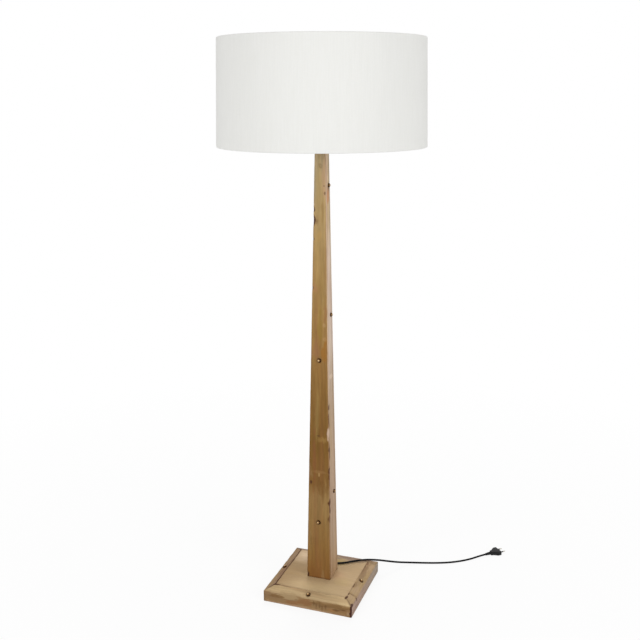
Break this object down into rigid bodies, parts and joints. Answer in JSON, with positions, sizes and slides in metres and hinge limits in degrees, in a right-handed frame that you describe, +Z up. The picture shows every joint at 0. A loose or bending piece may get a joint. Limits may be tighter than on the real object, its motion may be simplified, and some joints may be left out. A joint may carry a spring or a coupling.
{
  "type": "column floor lamp",
  "caption": "Floor lamp with a tapered square wooden column on a bevelled mitred base, a white fabric drum shade on a switched screw lampholder, and a black cord with its plug.",
  "frame": {"origin": "on the floor under the axis of the column, at the middle of the base", "axes": "+Z up along the column, -Y towards the front, +X to the right seen from the front"},
  "size_m": [0.8169, 0.7225, 1.6873],
  "materials": {
    "column_wood": "antiqued, waxed softwood",
    "base_wood": "antiqued, waxed softwood",
    "block_wood": "sawn",
    "nail_bronze": "aged bronze",
    "steel": "zinc plated",
    "felt": "felt",
    "brass": "plain",
    "holder_plastic": "satin moulded",
    "holder_ceramic": "smooth",
    "bulb_black_glass": "glossy",
    "bulb_metal": "nickel plated",
    "bulb_opal": "opal",
    "shade_fabric": "woven cotton over a stiff liner",
    "shade_wire": "white epoxy",
    "cord_black": "soft flex sheath",
    "plug_black": "satin moulded",
    "pin_metal": "nickel plated"
  },
  "bodies": {
    "stand": {"column_front": "column_wood", "column_right": "column_wood", "column_back": "column_wood", "column_left": "column_wood", "base_board_front": "base_wood", "base_board_right": "base_wood", "base_board_back": "base_wood", "base_board_left": "base_wood", "base_panel": "base_wood", "foot_block": "block_wood", "base_nails": "nail_bronze", "column_nails": "nail_bronze", "ballast_plate": "steel", "ballast_screws": "steel", "foot_screws": "steel", "top_plate": "steel", "top_plate_screws": "steel", "lock_nut": "steel", "felt_pads": "felt", "nipple": "brass", "screw_shell": "brass", "centre_contact": "brass", "holder_cap": "holder_plastic", "holder_skirt": "holder_plastic", "seat_ring": "holder_plastic", "holder_insert": "holder_ceramic", "inner_flex": "cord_black", "cord_coil": "cord_black", "cord_run": "cord_black", "cord_bush": "plug_black", "cord_tie": "plug_black", "plug_boot": "plug_black", "plug_body": "plug_black", "plug_pins": "pin_metal"},
    "shade": {"shade_drum": "shade_fabric", "shade_top_ring": "shade_wire", "shade_bottom_ring": "shade_wire", "shade_top_hem": "shade_fabric", "shade_bottom_hem": "shade_fabric", "shade_fitter": "shade_wire", "shade_spokes": "shade_wire"},
    "clamp": {"clamp_ring": "holder_plastic"},
    "bulb": {"bulb_tip": "brass", "bulb_insulator": "bulb_black_glass", "bulb_cap": "bulb_metal", "bulb_globe": "bulb_opal"},
    "switch": {"switch_bar": "holder_plastic"}
  },
  "joints": [
    {"name": "shade_turn", "type": "hinge", "parent": "stand", "child": "shade", "pos_m": [0, 0, 1.4473], "axis": [0, 0, 1], "continuous": true},
    {"name": "clamp_ring_turn", "type": "hinge", "parent": "stand", "child": "clamp", "pos_m": [0, 0, 1.453], "axis": [0, 0, 1], "continuous": true},
    {"name": "bulb_turn", "type": "hinge", "parent": "stand", "child": "bulb", "pos_m": [0, 0, 1.453], "axis": [0, 0, 1], "continuous": true},
    {"name": "switch_push", "type": "slide", "parent": "stand", "child": "switch", "axis": [1, 0, 0], "range_m": [0, 0.008]}
  ]
}
